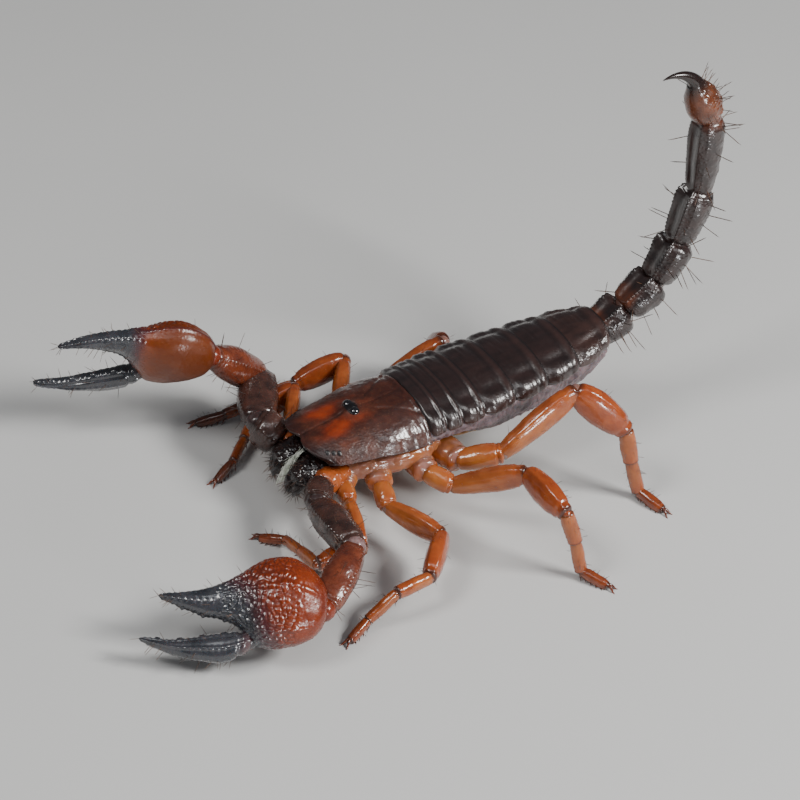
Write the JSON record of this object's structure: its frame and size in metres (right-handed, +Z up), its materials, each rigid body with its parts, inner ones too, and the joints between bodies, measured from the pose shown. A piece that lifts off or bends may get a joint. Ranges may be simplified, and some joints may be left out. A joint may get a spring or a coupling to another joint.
{
  "type": "scorpion",
  "caption": "Life-size burrowing scorpion standing with its tail raised over its back and stout claws held forward, granular keeled plates and bristled legs.",
  "frame": {"origin": "middle of the underside of the whole model, on the floor", "axes": "+X ahead of the animal, +Y its left side, +Z up"},
  "size_m": [0.0726, 0.0446, 0.0433],
  "materials": {
    "carapace_cuticle": "glossy finely granular cuticle, orange-red in front and purple-brown behind",
    "trunk_cuticle": "glossy dark purple-brown plates with fine folds, grey-lilac soft sides",
    "underside_cuticle": "satin yellow-orange plates with pale soft skin between",
    "eye_lens": "smooth glassy black",
    "chelicera_cuticle": "glossy near-black",
    "pectine_cuticle": "satin pale amber",
    "tail_cuticle": "glossy dark brown, granular keels",
    "sting_cuticle": "glossy dark reddish brown",
    "leg_cuticle": "glossy translucent orange, darker at the feet",
    "claw_cuticle": "glossy red-orange with a net of blunt granules, black at the fingers",
    "finger_cuticle": "glossy blue-black with granules",
    "arm_cuticle": "glossy dark reddish brown"
  },
  "bodies": {
    "root": {"carapace": "carapace_cuticle", "tergite_1": "trunk_cuticle", "tergite_2": "trunk_cuticle", "tergite_3": "trunk_cuticle", "tergite_4": "trunk_cuticle", "tergite_5": "trunk_cuticle", "tergite_6": "trunk_cuticle", "tergite_7": "trunk_cuticle", "coxosternum": "underside_cuticle", "eye_median_left": "eye_lens", "chelicera_left": "chelicera_cuticle", "eye_median_right": "eye_lens", "chelicera_right": "chelicera_cuticle", "pectine_left": "pectine_cuticle", "pectine_right": "pectine_cuticle", "metasoma_1": "tail_cuticle", "metasoma_2": "tail_cuticle", "metasoma_3": "tail_cuticle", "metasoma_4": "tail_cuticle", "metasoma_5": "tail_cuticle", "vesicle": "sting_cuticle", "aculeus": "sting_cuticle", "leg_left_1_femur": "leg_cuticle", "leg_left_1_patella": "leg_cuticle", "leg_left_1_foot": "leg_cuticle", "leg_left_2_femur": "leg_cuticle", "leg_left_2_patella": "leg_cuticle", "leg_left_2_foot": "leg_cuticle", "leg_left_3_femur": "leg_cuticle", "leg_left_3_patella": "leg_cuticle", "leg_left_3_foot": "leg_cuticle", "leg_left_4_femur": "leg_cuticle", "leg_left_4_patella": "leg_cuticle", "leg_left_4_foot": "leg_cuticle", "leg_right_1_femur": "leg_cuticle", "leg_right_1_patella": "leg_cuticle", "leg_right_1_foot": "leg_cuticle", "leg_right_2_femur": "leg_cuticle", "leg_right_2_patella": "leg_cuticle", "leg_right_2_foot": "leg_cuticle", "leg_right_3_femur": "leg_cuticle", "leg_right_3_patella": "leg_cuticle", "leg_right_3_foot": "leg_cuticle", "leg_right_4_femur": "leg_cuticle", "leg_right_4_patella": "leg_cuticle", "leg_right_4_foot": "leg_cuticle", "pedipalp_left_trochanter": "arm_cuticle", "pedipalp_left_femur": "arm_cuticle", "pedipalp_left_patella": "arm_cuticle", "pedipalp_left_manus": "claw_cuticle", "pedipalp_left_movable_finger": "finger_cuticle", "pedipalp_right_trochanter": "arm_cuticle", "pedipalp_right_femur": "arm_cuticle", "pedipalp_right_patella": "arm_cuticle", "pedipalp_right_manus": "claw_cuticle", "pedipalp_right_movable_finger": "finger_cuticle"}
  },
  "joints": []
}
